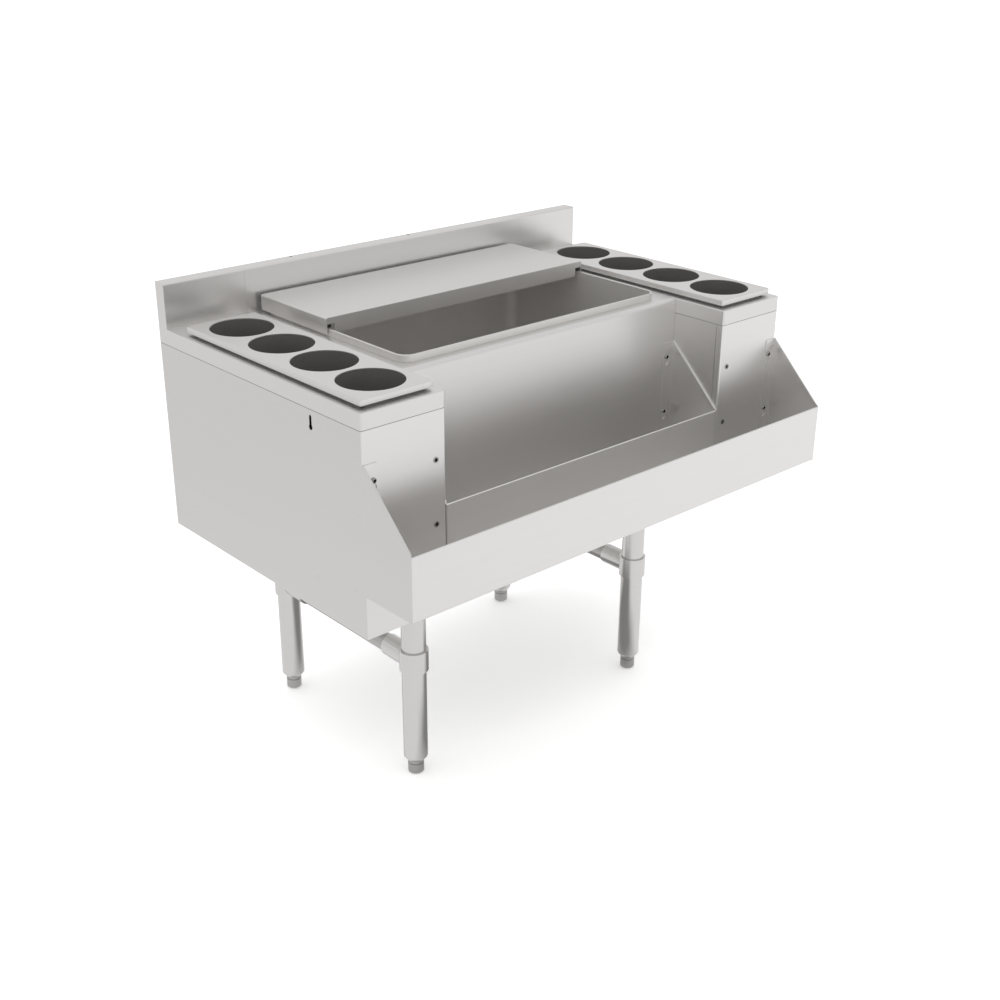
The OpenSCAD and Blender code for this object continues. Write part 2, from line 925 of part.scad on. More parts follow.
// Left end plate: its slope hemmed inwards, and a flange with two keyholes at the back
module rail_end(d, hole_x) {
  run = d - sheet;
  slope = (rail_end_h - lip_h) / run;
  hem_drop = hem_w * sqrt(1 + slope * slope);
  hem_foot = lip_h + slope * hem_t;
  color(steel)
    difference() {
      union() {
        along_x(sheet)
          polygon([[0, 0], [0, lip_h], [run, rail_end_h], [d, rail_end_h], [d, 0]]);
        along_x(hem_t)
          polygon([[hem_t, hem_foot], [run, rail_end_h], [run, rail_end_h - hem_drop], [hem_t, hem_foot - hem_drop]]);
        translate([0, d - sheet, rail_back_h + fit])
          cube([rail_flange_w, sheet, rail_end_h - rail_back_h - fit]);
      }
      for (z = fixing_zs)
        translate([hole_x, d + cut, z - lip_z])
          rotate([90, 0, 0])
            linear_extrude(sheet + 2 * cut)
              keyhole(slot_w, slot_round, slot_l);
    }
}

// The inner rail lies in the recess between the bottle cabinets
inner_w = bin_w - 2 * inner_rail_gap;

module on_inner_rail() {
  translate([-inner_w / 2, side_y, lip_z])
    children();
}

module on_outer_rail() {
  translate([-unit_w / 2, side_y - outer_rail_d, lip_z])
    children();
}

module inner_rail() {
  on_inner_rail()
    translate([sheet, 0, 0])
      rail(inner_w - 2 * sheet, recess_d);
}

module outer_rail() {
  on_outer_rail()
    translate([sheet, 0, 0])
      rail(unit_w - 2 * sheet, outer_rail_d);
}

module inner_rail_end() {
  on_inner_rail()
    rail_end(recess_d, fixing_inset - inner_rail_gap);
}

module outer_rail_end() {
  on_outer_rail()
    rail_end(outer_rail_d, fixing_inset);
}

// Button head screw along y, drawn from the face that its head lies on
module rail_screw() {
  color(steel_dark)
    rotate([90, 0, 0])
      difference() {
        union() {
          cylinder(d1 = head_d, d2 = head_d - head_t, h = head_t);
          translate([0, 0, -screw_l])
            cylinder(d = screw_d, h = screw_l);
        }
        translate([0, 0, head_t - socket_t])
          cylinder(d = socket_d, h = socket_t + cut);
      }
}

// Four screws hold each rail
module rail_screws() {
  for (m = [0, 1], z = fixing_zs)
    mirror([m, 0, 0]) {
      translate([-unit_w / 2 + fixing_inset, side_y - sheet, z])
        rail_screw();
      translate([-bin_w / 2 + fixing_inset, bin_y - sheet, z])
        rail_screw();
    }
}

// Threaded inserts on the inner side of both cabinets' fronts
module front_threaded_inserts() {
  for (m = [0, 1], z = fixing_zs)
    mirror([m, 0, 0])
      translate([-unit_w / 2 + side_w - fixing_inset, side_y, z])
        rotate([90, 0, 0])
          color(steel_dark)
            difference() {
              union() {
                cylinder(d = insert_rim_d, h = insert_rim_t);
                translate([0, 0, -insert_l])
                  cylinder(d = insert_d, h = insert_l);
              }
              translate([0, 0, -insert_l - cut])
                cylinder(d = insert_bore, h = insert_l + insert_rim_t + 2 * cut);
            }
}

// Legs

// Leg tube with its plate at the top and the tapered plug for the foot
module leg() {
  plate_z = base_z - leg_plate_t;
  top = plate_z + leg_plate_t / 2;
  r = leg_d / 2;
  color(steel) {
    rotate_extrude()
      polygon([
        [stud_d / 2 + run_gap, leg_bottom], [plug_tip_d / 2, leg_bottom],
        [r, leg_bottom + plug_taper_h], [r, top],
        [r - leg_wall, top], [r - leg_wall, leg_bottom + plug_h],
        [stud_d / 2 + run_gap, leg_bottom + plug_h]
      ]);
    translate([-leg_plate / 2, -leg_plate / 2, plate_z])
      linear_extrude(leg_plate_t)
        rounded(leg_plate, leg_plate, leg_plate_r);
  }
}

// Foot with its threaded stud
module foot() {
  r = foot_d / 2;
  groove_r = r - groove_depth;
  stud_top = leg_bottom + stud_l;
  body_top = leg_bottom - run_gap;
  color(steel_dark)
    rotate_extrude()
      polygon([
        [0, 0], [r - foot_chamfer, 0], [r, foot_chamfer],
        [r, groove_z], [groove_r, groove_z + groove_depth / 2],
        [groove_r, groove_z + groove_h - groove_depth / 2], [r, groove_z + groove_h],
        [r, body_top], [stud_d / 2, body_top], [stud_d / 2, stud_top], [0, stud_top]
      ]);
}

// Tee: a collar round the leg and a sleeve, towards +y, for the crossrail
tee_screw_ys = [for (i = [0, 1]) tee_reach - tee_screw_inset - i * tee_screw_pitch];

module tee() {
  collar_r = leg_d / 2 + collar_wall;
  sleeve_r = cross_d / 2 + sleeve_wall;
  color(steel_dark)
    translate([0, 0, cross_z])
      difference() {
        union() {
          translate([0, 0, -collar_h / 2])
            cylinder(r = collar_r, h = collar_h);
          rotate([-90, 0, 0])
            cylinder(r = sleeve_r, h = tee_reach);
        }
        translate([0, 0, -collar_h / 2 - cut])
          cylinder(d = leg_d + 2 * curve_gap, h = collar_h + 2 * cut);
        rotate([-90, 0, 0])
          cylinder(d = cross_d + 2 * curve_gap, h = tee_reach + cut);
        for (y = tee_screw_ys)
          translate([0, y, -sleeve_r - cut])
            cylinder(d = tee_screw_d + 2 * curve_gap, h = sleeve_r + cut);
      }
}

// Tube between the front and the rear tee of one side
module crossrail(side) {
  start = leg_front_y + leg_d / 2 + collar_wall;
  l = leg_rear_y - leg_d / 2 - collar_wall - start;
  color(steel)
    translate([side * leg_x, start, cross_z])
      rotate([-90, 0, 0])
        difference() {
          cylinder(d = cross_d, h = l);
          translate([0, 0, -cut])
            cylinder(d = cross_d - 2 * leg_wall, h = l + 2 * cut);
        }
}

// Two set screws under each tee
module tee_set_screws() {
  sleeve_r = cross_d / 2 + sleeve_wall;
  top = -cross_d / 2 - curve_gap;
  bottom = -sleeve_r - tee_screw_out;
  color(steel_dark)
    for (side = [-1, 1], end = [0, 1], y = tee_screw_ys)
      translate([side * leg_x, end == 0 ? leg_front_y + y : leg_rear_y - y, cross_z + bottom])
        cylinder(d = tee_screw_d, h = top - bottom);
}

module rear_tee() {
  mirror([0, 1, 0])
    tee();
}

on_left() side_shell();  // left_shell
on_left() side_back_panel();  // left_back_panel
on_left() side_bottom_pan();  // left_bottom_pan
on_left() side_deck();  // left_deck
on_left() well_liner();  // left_well_liner
on_left() side_insulation();  // left_insulation
on_left() well_drain();  // left_well_drain
on_left() cover();  // left_cover
on_left() bottle_tube(1);  // left_bottle_tube_1
on_left() bottle_tube(2);  // left_bottle_tube_2
on_left() bottle_tube(3);  // left_bottle_tube_3
on_left() bottle_tube(4);  // left_bottle_tube_4
on_right() side_shell();  // right_shell
on_right() side_back_panel();  // right_back_panel
on_right() side_bottom_pan();  // right_bottom_pan
on_right() side_deck();  // right_deck
on_right() well_liner();  // right_well_liner
on_right() side_insulation();  // right_insulation
on_right() well_drain();  // right_well_drain
on_right() cover();  // right_cover
on_right() bottle_tube(1);  // right_bottle_tube_1
on_right() bottle_tube(2);  // right_bottle_tube_2
on_right() bottle_tube(3);  // right_bottle_tube_3
on_right() bottle_tube(4);  // right_bottle_tube_4
on_bin() bin_deck();
on_bin() bin_shell();
on_bin() bin_bottom_pan();
on_bin() ice_tub();
on_bin() bin_insulation();
on_bin() bin_drain();
on_bin() drain_strainer();
on_bin() lid();
on_bin() lid_glides();
inner_rail();
inner_rail_end();  // inner_rail_left_end
mirror([1, 0, 0]) inner_rail_end();  // inner_rail_right_end
outer_rail();
outer_rail_end();  // outer_rail_left_end
mirror([1, 0, 0]) outer_rail_end();  // outer_rail_right_end
rail_screws();
front_threaded_inserts();
side_rivets();
at_leg(-1, leg_front_y) leg();  // front_left_leg
at_leg(1, leg_front_y) leg();  // front_right_leg
at_leg(-1, leg_rear_y) leg();  // rear_left_leg
at_leg(1, leg_rear_y) leg();  // rear_right_leg
at_leg(-1, leg_front_y) foot();  // front_left_foot
at_leg(1, leg_front_y) foot();  // front_right_foot
at_leg(-1, leg_rear_y) foot();  // rear_left_foot
at_leg(1, leg_rear_y) foot();  // rear_right_foot
at_leg(-1, leg_front_y) tee();  // front_left_tee
at_leg(1, leg_front_y) tee();  // front_right_tee
at_leg(-1, leg_rear_y) rear_tee();  // rear_left_tee
at_leg(1, leg_rear_y) rear_tee();  // rear_right_tee
crossrail(-1);  // left_crossrail
crossrail(1);  // right_crossrail
tee_set_screws();
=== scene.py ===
import json
import math

import bmesh
import bpy
from mathutils import Matrix, Vector


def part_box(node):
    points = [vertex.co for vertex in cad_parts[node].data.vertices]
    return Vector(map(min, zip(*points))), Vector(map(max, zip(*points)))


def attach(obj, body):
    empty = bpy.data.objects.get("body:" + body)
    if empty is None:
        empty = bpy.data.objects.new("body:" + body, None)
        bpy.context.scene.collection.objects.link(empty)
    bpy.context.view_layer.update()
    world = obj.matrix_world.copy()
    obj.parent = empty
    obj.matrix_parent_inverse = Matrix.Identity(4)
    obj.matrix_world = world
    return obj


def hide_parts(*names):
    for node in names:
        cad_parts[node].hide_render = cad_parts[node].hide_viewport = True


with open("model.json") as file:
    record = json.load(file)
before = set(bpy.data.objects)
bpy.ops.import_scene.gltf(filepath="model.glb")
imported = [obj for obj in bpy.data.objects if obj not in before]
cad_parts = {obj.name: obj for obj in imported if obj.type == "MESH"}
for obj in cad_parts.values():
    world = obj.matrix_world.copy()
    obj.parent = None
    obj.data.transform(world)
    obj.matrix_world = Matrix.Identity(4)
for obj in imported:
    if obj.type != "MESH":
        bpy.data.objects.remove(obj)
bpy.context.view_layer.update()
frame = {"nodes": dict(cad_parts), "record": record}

# Dresses the packed ice bin: sheet steel, bottle tubes, rail screws and threads, on a white floor.
scene = bpy.context.scene
nodes = frame["nodes"]
record = frame["record"]
body_of = {node: body for body, members in record["behaviour"]["bodies"].items() for node in members}

# All places and lengths are in metres.
MM = 0.001
SIDES = ("left", "right")
LEGS = [end + "_" + side for end in ("front", "rear") for side in SIDES]

# Camera, as solved from the photograph's edges, with its angles in degrees
CAMERA_PLACE = (-1.4805, -1.6253, 1.3757)
CAMERA_YAW = 42.25
CAMERA_PITCH = 23.82
CAMERA_ROLL = 0.444
CAMERA_NEAR = 0.05
CAMERA_FAR = 200
FOCAL_PIXELS = 1368.12
IMAGE_PIXELS = 1000
SENSOR_MM = 36

# Light of the white studio: as fill, and as the steel reflects it
WORLD_FILL = 0.60
WORLD_IN_STEEL = 0.77
LAMP_WATTS = 105
LAMP_PLACE = (-1.7, -1.1, 9)
LAMP_AIM = (0, 0, 0)
LAMP_SIDE = 7.0

# Floor as the camera sees it: white, with painted light that makes the shadow lighter away from its heart
FLOOR_HALF = 60
FLOOR_WHITE = 0.9
FLOOR_GAIN = 1.57
FLOOR_PAINTED_LIFT = 0.26
FLOOR_GLOW = 0.135
SHADOW_HEART = (0.12, 0.13)
SHADOW_REACH = (0.45, 0.25)
SHADOW_CORE = 0.1

# Floor as the steel reflects it, a glow: painted light brighter one way, and painted shade under the ice bin
FLOOR_MIRRORED = 0.85
FLOOR_IN_STEEL = 0.955
FLOOR_PAINTED_LIGHT_WAY = (0.67, -0.74)
FLOOR_SLOPE = 0.060
FLOOR_SLOPE_END = 2.0
FLOOR_PAINTED_SHADE = 0.75
FLOOR_PAINTED_SHADE_REACH = 0.02
FLOOR_PAINTED_SHADE_BLUR = 0.16

# Cleaning of meshes
WELD = 0.002 * MM
GROWN_WELD = 0.001 * MM
EMPTY_FACE = 0.004 * MM
SAME_PLACE = 0.05 * MM
FLAT_ANGLE = 0.4

# Sheet pieces: their bends, their cut edges and the gaps beside them
DECK_SHEET = 1.2 * MM
SPLASH_ZONE = 30 * MM
DECK_ROUND = 1.2 * MM
COVER_ROUND = 1.6 * MM
TUB_RIM_ROUND = 1.5 * MM
ROUND_STEPS = 4
BEND_ANGLE = 28
SIDE_SLACK = 3.2 * MM
CUT_EDGE_BREAK = 0.35 * MM
CUT_EDGE_ANGLE = 50
CUT_EDGE_SHORTEST = 1.5 * MM
SMOOTH_ANGLE = 32
SEAM_SLACK = 0.5 * MM
END_GAP_CLOSED = 0.48 * MM
END_PLATE_SLACK = 0.3 * MM
FLAT_FACE_WEIGHT = 100

# Faces of the sheet pieces, told apart by how much of their direction lies along an axis
TURNED_ABOVE = 0.7
UPRIGHT_BELOW = 0.5
# The faces of a rail's end plate that get the painted highlight
HIGHLIGHT_SIDEWAYS_BELOW = 0.3
HIGHLIGHT_UP_ABOVE = 0.3

# Bottle tubes
TUBE_WALL = 1.5 * MM
TUBE_BASE = 2.0 * MM
TUBE_COVE_R = 4 * MM
TUBE_FOOT_R = 1 * MM
TUBE_LIP_R = 0.7 * MM
TUBE_DRAIN_R = 10 * MM
TUBE_STEPS = 72

# Rail screws
SCREW_HEAD_T = 3 * MM
SCREW_DOME_R = 1.6 * MM
SCREW_SHANK_R = 3 * MM
SCREW_EDGE = 0.6 * MM
SCREW_SWEEP_R = 1 * MM
SCREW_STEPS = 32
SOCKET_FLATS = 4.9 * MM
SOCKET_DEPTH = 1.9 * MM
SOCKET_R = SOCKET_FLATS / math.sqrt(3)

# Threads on the feet's studs and the drains' tailpieces
THREAD_PITCH = 1.75 * MM
THREAD_BASE = 0.76 * THREAD_PITCH
THREAD_CREST = 0.3 * MM
THREAD_HALF_DEPTH = 0.3 * MM
THREAD_STEPS = 28
FOOT_THREAD_SUNK = 0.08 * MM
FOOT_THREAD_START = 1 * MM
FOOT_THREAD_END = 1.5 * MM
DRAIN_THREAD_SUNK = 0.1 * MM
DRAIN_THREAD_START = 1.5 * MM
DRAIN_THREAD_END = 16 * MM

# Places that the frame gives
bin_half_width, half_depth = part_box("bin_deck")[1].xy
deck_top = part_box("left_well_liner")[1].z + DECK_SHEET
seam_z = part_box("left_shell")[1].z
tub_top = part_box("ice_tub")[1].z
splash_y = half_depth - SPLASH_ZONE


# Node building

class Value:
    """A node's output that can be used in sums: each sum adds its Math nodes."""

    def __init__(self, maker, socket):
        self.maker = maker
        self.socket = socket

    def math(self, operation, *values):
        return self.maker.node("ShaderNodeMath", {"operation": operation}, numbered=dict(enumerate(values)))

    def __add__(self, other):
        return self.math("ADD", self, other)

    def __radd__(self, other):
        return self.math("ADD", other, self)

    def __sub__(self, other):
        return self.math("SUBTRACT", self, other)

    def __rsub__(self, other):
        return self.math("SUBTRACT", other, self)

    def __mul__(self, other):
        return self.math("MULTIPLY", self, other)

    def __rmul__(self, other):
        return self.math("MULTIPLY", other, self)

    def __abs__(self):
        return self.math("ABSOLUTE", self)

    def clamped(self, low=0.0, high=1.0):
        return self.math("MINIMUM", self.math("MAXIMUM", self, low), high)


class NodeMaker:
    """Adds nodes to a tree: first a node's settings, then the values or links of its sockets."""

    def __init__(self, tree):
        self.tree = tree

    def put(self, socket, value):
        if isinstance(value, Value):
            self.tree.links.new(value.socket, socket)
        else:
            socket.default_value = value

    def fill(self, node, sockets):
        """Fills sockets by name, with _ for a space, or by number where two share a name."""
        for key, value in sockets.items():
            self.put(node.inputs[key.replace("_", " ") if isinstance(key, str) else key], value)

    def node(self, kind, settings=None, output=0, numbered=None, **named):
        node = self.tree.nodes.new(kind)
        for key, value in (settings or {}).items():
            setattr(node, key, value)
        self.fill(node, numbered or {})
        self.fill(node, named)
        return Value(self, node.outputs[output])


class Finish(NodeMaker):
    """A material, which starts with one Principled surface."""

    def __init__(self, name):
        self.material = bpy.data.materials.new(name)
        self.material.use_nodes = True
        super().__init__(self.material.node_tree)
        self.surface = self.tree.nodes["Principled BSDF"]

    def noise(self, scale, detail=2.0, roughness=0.5):
        place = self.node("ShaderNodeTexCoord", output="Object")
        place = self.node("ShaderNodeMapping", Vector=place, Scale=scale)
        return self.node("ShaderNodeTexNoise", Vector=place, Scale=1.0, Detail=detail, Roughness=roughness)

    def shades(self, tone, colour, dark, light):
        """The colour, times dark where the tone is 0 and times light where it is 1."""
        low, high = ([part * shade for part in colour] + [1.0] for shade in (dark, light))
        return self.node("ShaderNodeMix", {"data_type": "RGBA"}, 2, {0: tone, 6: low, 7: high})

    def bump(self, height, strength, distance):
        return self.node("ShaderNodeBump", Strength=strength, Distance=distance, Height=height)

    def finish(self, **sockets):
        self.fill(self.surface, sockets)
        return self.material


# Finishes. A noise's scale is in cells per metre.

def drawn_out(axis, along, across):
    """The scale of a pattern that is drawn out along one axis."""
    return tuple(along if other == axis else across for other in "xyz")


def brushed_steel(name, axis, colour, roughness, metal=0.88):
    """Sheet steel: a fine grain along one axis, long faint streaks and soft smears from handling."""
    f = Finish(name)
    grain = f.noise(drawn_out(axis, 6, 1500), detail=3.0, roughness=0.6)
    streak = f.noise(drawn_out(axis, 1, 90))
    smear = f.noise((5, 5, 5), detail=3.0)
    tone = (0.4 * grain + 0.3 * streak + 0.3 * smear).clamped()
    return f.finish(
        Base_Color=f.shades(tone, colour, 0.96, 1.04),
        Metallic=metal,
        Roughness=roughness + 0.12 * (grain - 0.5) + 0.06 * (smear - 0.5),
        Normal=f.bump(grain, 0.05, 0.1 * MM),
    )


def drawn_tube(name, colour, roughness):
    """Drawn and polished tube: a clean surface with faint rings and wipe marks."""
    f = Finish(name)
    rings = f.noise((12, 12, 160))
    wipe = f.noise((14, 14, 3), detail=3.0)
    tone = (0.5 * rings + 0.5 * wipe).clamped()
    return f.finish(
        Base_Color=f.shades(tone, colour, 0.97, 1.03),
        Metallic=0.95,
        Roughness=roughness + 0.08 * (wipe - 0.5),
        Normal=f.bump(rings, 0.02, 0.1 * MM),
    )


def cast_metal(name, colour, roughness):
    """Satin cast or turned metal with a slight pebble."""
    f = Finish(name)
    pebble = f.noise((900, 900, 900))
    smear = f.noise((30, 30, 30))
    return f.finish(
        Base_Color=f.shades(smear, colour, 0.92, 1.06),
        Metallic=1.0,
        Roughness=roughness + 0.12 * (smear - 0.5),
        Normal=f.bump(pebble, 0.12, 0.3 * MM),
    )


def moulded_plastic(name, colour, roughness):
    """Moulded plastic with a faint flow and fine pebble."""
    f = Finish(name)
    pebble = f.noise((1400, 1400, 1400))
    flow = f.noise((20, 20, 60))
    return f.finish(
        Base_Color=f.shades(flow, colour, 0.9, 1.12),
        Roughness=roughness + 0.1 * (flow - 0.5),
        Normal=f.bump(pebble, 0.15, 0.2 * MM),
    )


# A sheet steel is given for both ways of the grain. On the tub and the rails it runs along x throughout. On
# the shell the two also differ as painted light and painted shade.
plain_steel = {axis: brushed_steel("steel_grain_" + axis, axis, (0.800, 0.787, 0.775), 0.34) for axis in "xy"}
tub_steel = dict.fromkeys("xy", brushed_steel("tub_steel", "x", (0.806, 0.788, 0.768), 0.38, metal=0.52))
# Painted light: the rails' steel is a lighter, less metallic copy of the sheet steel, for their lit front
# lip.
rail_steel = dict.fromkeys("xy", brushed_steel("rail_steel", "x", (0.875, 0.861, 0.848), 0.34, metal=0.76))
# Painted light: the shell's fronts get a lighter copy of its steel, and its sides and tops a darker one.
shell_steel_lit_and_shaded = {
    "x": brushed_steel("shell_front_steel", "x", (0.835, 0.822, 0.809), 0.34),
    "y": brushed_steel("shell_side_steel", "y", (0.752, 0.740, 0.729), 0.34),
}
# Painted highlight: a lighter, less metallic steel for the bright line along the rail end plates' sloping
# tops.
painted_edge_highlight = brushed_steel("sheared_edge", "y", (0.95, 0.94, 0.93), 0.45, metal=0.55)
leg_steel = drawn_tube("leg_tube", (0.705, 0.695, 0.68), 0.16)
# Painted shade: the crossrails get a darker copy of the legs' tube, for the shade under the cabinets.
crossrail_steel_shaded = drawn_tube("crossrail_tube", (0.50, 0.49, 0.475), 0.22)
foot_metal = cast_metal("turned_foot", (0.46, 0.455, 0.445), 0.24)
# Painted shade: a darker steel for the seam grooves and for the rims under the covers.
shadow_gap = cast_metal("shadow_gap", (0.46, 0.455, 0.45), 0.8)
drain_metal = cast_metal("cast_fitting", (0.62, 0.61, 0.60), 0.32)
screw_metal = cast_metal("screw_head", (0.42, 0.415, 0.41), 0.34)
# Painted shade: near-black for the rail screws' hex sockets; the tee set screws are painted with it all over.
near_black_socket_shade = cast_metal("screw_socket", (0.012, 0.012, 0.012), 0.60)
tube_plastic = moulded_plastic("bottle_tube_plastic", (0.172, 0.167, 0.157), 0.20)
glide_plastic = moulded_plastic("glide_plastic", (0.020, 0.020, 0.020), 0.45)
# Painted shade: the insulation is near-black, standing in for the shade where it shows.
foam_block = moulded_plastic("foam_block", (0.060, 0.060, 0.060), 0.80)


# Pieces of any kind

def near(a, b, slack=SAME_PLACE):
    return abs(a - b) < slack


def paint(node, material):
    """Gives a CAD node that keeps its own shape its material."""
    data = nodes[node].data
    data.materials.clear()
    data.materials.append(material)


def add_piece(name, mesh, node_names, materials=(), in_place_of_nodes=True):
    """Makes an object of a finished mesh that takes the place of its CAD nodes, or sits on them."""
    piece = bpy.data.objects.new(name, mesh)
    scene.collection.objects.link(piece)
    for material in materials:
        mesh.materials.append(material)
    if in_place_of_nodes:
        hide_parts(*node_names)
    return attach(piece, body_of[node_names[0]])


def merged(node):
    """A copy of a CAD node's mesh with its corners joined and its flat faces whole."""
    bm = bmesh.new()
    bm.from_mesh(nodes[node].data)
    bmesh.ops.remove_doubles(bm, verts=bm.verts, dist=WELD)
    bmesh.ops.dissolve_limit(
        bm, angle_limit=math.radians(FLAT_ANGLE), use_dissolve_boundaries=False, verts=bm.verts,
        edges=bm.edges)
    return bm


def shade_smooth(mesh):
    for face in mesh.polygons:
        face.use_smooth = True
    mesh.set_sharp_from_angle(angle=math.radians(SMOOTH_ANGLE))


# Sheet pieces

# The material slots of a sheet piece: its grain, its turned grain, and its painted light, which is painted
# shade in a gap, or a painted highlight along a cut edge. On the shell the first two also hold painted shade
# and painted light.
GRAIN_AND_SIDE_SHADE, TURNED_GRAIN_AND_FRONT_LIGHT, PAINTED_LIGHT_SLOT = range(3)


def bevel_sharp(bm, width, segments, angle, chosen):
    """Rounds the sharp edges that the test picks."""
    limit = math.radians(angle)
    edges = [e for e in bm.edges if e.is_manifold and e.calc_face_angle(0.0) > limit and chosen(e)]
    if edges:
        bmesh.ops.bevel(
            bm, geom=edges, offset=width, offset_type="OFFSET", segments=segments, profile=0.5,
            affect="EDGES", clamp_overlap=True)


def long_enough(e):
    """Picks the edges that are cut edges of the sheet, not steps of a rounded corner."""
    return e.calc_length() > CUT_EDGE_SHORTEST


def tub_rim_edge(e):
    """Picks the edges round the top of the tub's rim."""
    return all(near(v.co.z, tub_top) for v in e.verts)


def top_outline(node, z):
    """Picks the edges at height z that lie on the node's outer sides."""
    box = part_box(node)

    def on_side(p):
        return any(near(p[i], corner[i], SIDE_SLACK) for i in (0, 1) for corner in box)

    def test(e):
        a, b = e.verts[0].co, e.verts[1].co
        level = near(a.z, z) and near(b.z, z)
        return level and on_side(a) and on_side(b) and on_side((a + b) / 2)

    return test


def stretch_ends(bm, reach):
    """Moves a piece's outer ends outwards, to what stands beside them."""
    end = max(abs(v.co.x) for v in bm.verts)
    for v in bm.verts:
        if abs(v.co.x) > end - END_PLATE_SLACK:
            v.co.x += math.copysign(reach, v.co.x)


def flat_faces_lead(piece):
    """Smooth shading in which the large flat faces keep their own direction."""
    weigh = piece.modifiers.new("weigh", "WEIGHTED_NORMAL")
    weigh.keep_sharp = True
    weigh.weight = FLAT_FACE_WEIGHT
    graph = bpy.context.evaluated_depsgraph_get()
    mesh = bpy.data.meshes.new_from_object(piece.evaluated_get(graph))
    old = piece.data
    piece.modifiers.clear()
    piece.data = mesh
    bpy.data.meshes.remove(old)


def lay_grain_and_facing_light(mesh, along):
    """Faces that look along the grain's axis get the other grain; on the shell that slot holds the painted
    light of its fronts.
    """
    axis = "xyz".index(along)
    for face in mesh.polygons:
        face.material_index = TURNED_GRAIN_AND_FRONT_LIGHT if abs(face.normal[axis]) > TURNED_ABOVE else GRAIN_AND_SIDE_SHADE


def paint_gap_shade(node, mesh):
    """Painted shade: the groove under the decks' skirts and the raised rims under the covers get the darker
    shadow-gap steel.
    """
    has_rim = node in ("left_deck", "right_deck")
    for face in mesh.polygons:
        heights = [mesh.vertices[v].co.z for v in face.vertices]
        in_seam = max(heights) < seam_z + SEAM_SLACK and min(heights) > seam_z - SEAM_SLACK
        on_rim = has_rim and min(heights) > deck_top - SEAM_SLACK and face.center.y < splash_y
        if in_seam or (on_rim and abs(face.normal.z) < UPRIGHT_BELOW):
            face.material_index = PAINTED_LIGHT_SLOT


def paint_edge_highlight(mesh):
    """Painted highlight: the upward faces along a rail end plate's sloping top get a lighter steel, for its
    bright line.
    """
    for face in mesh.polygons:
        if abs(face.normal.x) < HIGHLIGHT_SIDEWAYS_BELOW and face.normal.z > HIGHLIGHT_UP_ABOVE:
            face.material_index = PAINTED_LIGHT_SLOT


def sheet_piece(
        node, along, soft=None, soft_round=DECK_ROUND, cut_break=CUT_EDGE_BREAK, steel=plain_steel,
        painted_light_steel=shadow_gap, closer=0):
    """A sheet steel piece: its soft bends rounded, its cut edges broken and its grain laid, with painted
    shade in its gaps and, where its steel has lit and shaded copies, painted light on its faces.

    A piece that is pushed closer reaches that much further at its outer ends.
    """
    bm = merged(node)
    if closer:
        stretch_ends(bm, closer)
    if soft:
        bevel_sharp(bm, soft_round, ROUND_STEPS, BEND_ANGLE, soft)
    if cut_break:
        bevel_sharp(bm, cut_break, 1, CUT_EDGE_ANGLE, long_enough)
    bmesh.ops.dissolve_degenerate(bm, dist=EMPTY_FACE, edges=bm.edges)
    mesh = bpy.data.meshes.new(node + "_sheet")
    bm.to_mesh(mesh)
    bm.free()
    across = "y" if along == "x" else "x"
    piece = add_piece(node + "_sheet", mesh, [node], [steel[along], steel[across], painted_light_steel])
    lay_grain_and_facing_light(mesh, along)
    paint_gap_shade(node, mesh)
    shade_smooth(mesh)
    flat_faces_lead(piece)
    return piece


def bottle_cabinet_sheets(side):
    """A bottle cabinet's shell, deck, well liner and cover, with its back and its bottom."""
    sheet_piece(side + "_shell", "y", steel=shell_steel_lit_and_shaded)
    sheet_piece(side + "_back_panel", "x")
    sheet_piece(side + "_bottom_pan", "y")
    sheet_piece(side + "_deck", "y", top_outline(side + "_deck", deck_top))
    sheet_piece(side + "_well_liner", "y")
    cover_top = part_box(side + "_cover")[1].z
    sheet_piece(side + "_cover", "y", top_outline(side + "_cover", cover_top), COVER_ROUND)


def ice_bin_sheets():
    """The ice bin's deck, shell, bottom, tub and sliding lid."""
    sheet_piece("bin_deck", "x")
    sheet_piece("bin_shell", "y")
    sheet_piece("bin_bottom_pan", "x")
    sheet_piece("ice_tub", "x", tub_rim_edge, TUB_RIM_ROUND, steel=tub_steel)
    sheet_piece("lid", "x")


def speed_rail_sheets():
    """The two channels and their end plates. The inner rail's ends close the gap to the cabinets."""
    sheet_piece("inner_rail", "x", steel=rail_steel, closer=END_GAP_CLOSED)
    sheet_piece("outer_rail", "x", steel=rail_steel)
    for side in SIDES:
        end = sheet_piece(f"inner_rail_{side}_end", "y", cut_break=0, painted_light_steel=painted_edge_highlight, closer=END_GAP_CLOSED)
        paint_edge_highlight(end.data)
        sheet_piece(f"outer_rail_{side}_end", "y", cut_break=0, steel=shell_steel_lit_and_shaded)


# Grown pieces: what repeats or follows a path, made by Geometry Nodes

